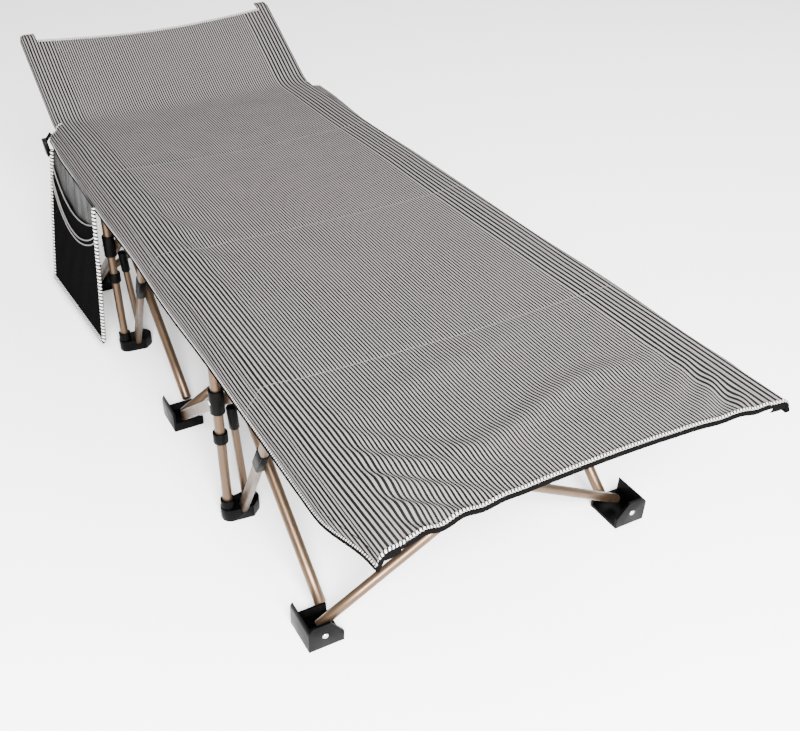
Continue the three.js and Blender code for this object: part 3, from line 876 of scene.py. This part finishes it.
def hung_sheet(name, top, offset, material):
    """A panel of the pocket: its upper edge is top(t), and it stands offset(t, w) off the back."""
    t = np.linspace(0, 1, POCKET_CELLS)[:, None]
    w = np.linspace(0, 1, POCKET_CELLS)[None, :]
    z = PZ0 + (top(t) - PZ0) * w
    y = PY0 + (PY1 - PY0) * t + 0.004 * np.sin(w * 3.0) * (2 * t - 1)
    swing = POCKET_SWING[0] + (POCKET_SWING[1] - POCKET_SWING[0]) * t
    x = TOP_X - (1 - (z - PZ0) / (PZ1 - PZ0)) * swing - offset(t, w)
    points = np.stack(np.broadcast_arrays(x, y, z), -1)
    uv = np.stack(np.broadcast_arrays(y, z), -1)
    obj = sheet_mesh(name, points[::-1], uv[::-1], CLOTH, material)
    return put(obj, LEFT), points


def droop(drops):
    """An upper edge that is this far below the back's, at its ends and in the middle."""
    end, middle = (PZ1 - drop for drop in drops)
    return lambda t: end + (middle - end) * np.sin(math.pi * np.clip(t, 0, 1)) ** 0.8


back, back_grid = hung_sheet(
    "pocket_back", lambda t: PZ1 + 0 * t,
    lambda t, w: 0.0020 * np.sin(t * 19) * np.sin(math.pi * w) ** 2, LINING)
middle, middle_grid = hung_sheet(
    "pocket_inner_pouch", droop(INNER_MOUTH),
    lambda t, w: 0.0022 + 0.002 * np.sin(math.pi * t) * np.sin(math.pi * w * 0.6), NET)
front, front_grid = hung_sheet(
    "pocket_pouch", droop(OUTER_MOUTH),
    lambda t, w: 0.0042 + 0.004 * np.sin(math.pi * t) ** 0.8 * np.sin(math.pi * w * 0.75)
    + 0.0012 * np.sin(t * 31 + w * 9) * np.sin(math.pi * t) * np.sin(math.pi * w), NET)

lower = back_grid[:, 0] + (-0.0024, 0, -0.0022)
outline = np.concatenate([back_grid[0, :0:-1], lower, back_grid[-1, 1:]]) - (0.0040, 0, 0)
trim = tube_mesh("pocket_edge_overlock", resample(outline, CORD_STEP), POCKET_BEAD, POCKET_STITCH,
                 POCKET_BEAD_SIDES)
put(trim, LEFT)
for name, grid, drop in (("pouch_piping_upper", front_grid, 0),
                         ("pouch_piping_lower", front_grid, 3),
                         ("inner_pouch_piping", middle_grid, 0)):
    line = resample(grid[:, -1 - drop] - (0.0006, 0, 0), CORD_STEP)
    put(tube_mesh(name, line, POUCH_PIPING, PIPING, CORD_SIDES), LEFT)

# strap and buckle that hold the pocket's head corner to the rail
buckle_y = PY1 + 0.004
STRAP_HALF, STRAP_THICK = 0.009, 0.0016
BUCKLE_SIZE = (0.010, 0.026, 0.0025)
strap_line = resample([(LEFT_X - 0.030, buckle_y + 0.012, RAIL_Z - 0.002),
                       (LEFT_X - 0.044, buckle_y + 0.010, RAIL_Z - 0.016),
                       (LEFT_X - 0.040, buckle_y + 0.006, RAIL_Z - 0.050)], CORD_STEP)
strap = np.array([strap_line + (0, d, 0) for d in (-STRAP_HALF, 0, STRAP_HALF)])
strap_uv = np.stack([strap[:, :, 1], strap[:, :, 2]], -1)
strap = sheet_mesh("pocket_strap", strap, strap_uv, STRAP_THICK, BINDING)
put(strap, LEFT)
buckle = bar_mesh("pocket_buckle", (LEFT_X - 0.0440, buckle_y + 0.008, RAIL_Z - 0.052),
                  (LEFT_X - 0.0480, buckle_y + 0.008, RAIL_Z - 0.014), *BUCKLE_SIZE, PLASTIC)
put(buckle, LEFT)
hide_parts("side_pocket")


# ---- floor, light and camera ------------------------------------------------------------------
FLOOR_HALF = 30.0


def floor():
    m = Nodes("pale_floor")
    m.link(m.mix(m.noise(2.0), *FLOOR_PAINT), m.shader.inputs["Base Color"])
    m.set(Roughness=0.95, Specular_IOR_Level=0.0)
    mesh = bpy.data.meshes.new("floor")
    corners = [(x * FLOOR_HALF, y * FLOOR_HALF, 0) for x, y in ((-1, -1), (1, -1), (1, 1), (-1, 1))]
    mesh.from_pydata(corners, [], [(0, 1, 2, 3)])
    mesh.materials.append(m.material)
    obj = bpy.data.objects.new("floor", mesh)
    bpy.context.scene.collection.objects.link(obj)


def lamp(name, place, target, size, power):
    data = bpy.data.lights.new(name, "AREA")
    data.shape = "SQUARE"
    data.size = size
    data.energy = power
    obj = bpy.data.objects.new(name, data)
    obj.location = place
    obj.rotation_mode = "QUATERNION"
    obj.rotation_quaternion = (Vector(target) - Vector(place)).to_track_quat("-Z", "Y")
    bpy.context.scene.collection.objects.link(obj)


CAMERA_AT = (-0.7186, -1.6496, 1.2326)
CAMERA_ANGLES = (26.38, 37.68, 0.83)  # yaw to the right of +Y, pitch down and roll, in degrees
CAMERA_LENS = 43.08
CAMERA_SHIFT = (0.0741, 0.0777)


def camera():
    yaw, pitch, roll = (math.radians(angle) for angle in CAMERA_ANGLES)
    level = math.cos(pitch)
    ahead = Vector((math.sin(yaw) * level, math.cos(yaw) * level, -math.sin(pitch)))
    right = Vector((math.cos(yaw), -math.sin(yaw), 0))
    down = ahead.cross(right)
    turned = right * math.cos(roll) + down * math.sin(roll)
    below = down * math.cos(roll) - right * math.sin(roll)
    data = bpy.data.cameras.new("camera")
    data.sensor_width = 36.0
    data.lens = CAMERA_LENS
    data.shift_x, data.shift_y = CAMERA_SHIFT
    obj = bpy.data.objects.new("camera", data)
    turn = Matrix((turned, -below, -ahead)).transposed().to_4x4()
    obj.matrix_world = Matrix.Translation(CAMERA_AT) @ turn
    bpy.context.scene.collection.objects.link(obj)
    bpy.context.scene.camera = obj


SKY_RANGE = (0.0, 0.75, 0.40, 1.90)   # two heights in the sky, and its strength at each


def world():
    sky = bpy.data.worlds.new("studio")
    sky.use_nodes = True
    background = sky.node_tree.nodes["Background"]
    links = sky.node_tree.links
    split = sky.node_tree.nodes.new("ShaderNodeSeparateXYZ")
    links.new(sky.node_tree.nodes.new("ShaderNodeTexCoord").outputs["Generated"], split.inputs[0])
    height = sky.node_tree.nodes.new("ShaderNodeMapRange")
    for socket, value in zip(list(height.inputs)[1:5], SKY_RANGE):
        socket.default_value = value
    links.new(split.outputs[2], height.inputs[0])
    links.new(height.outputs[0], background.inputs["Strength"])
    background.inputs["Color"].default_value = (1.0, 1.0, 1.0, 1)
    bpy.context.scene.world = sky


floor()
world()
lamp("key", (-0.9, -3.0, 2.2), (0, -0.7, 0.3), 1.7, 1100)
lamp("fill", (2.8, 0.6, 3.4), (0, 0, 0.3), 3.0, 190)
camera()
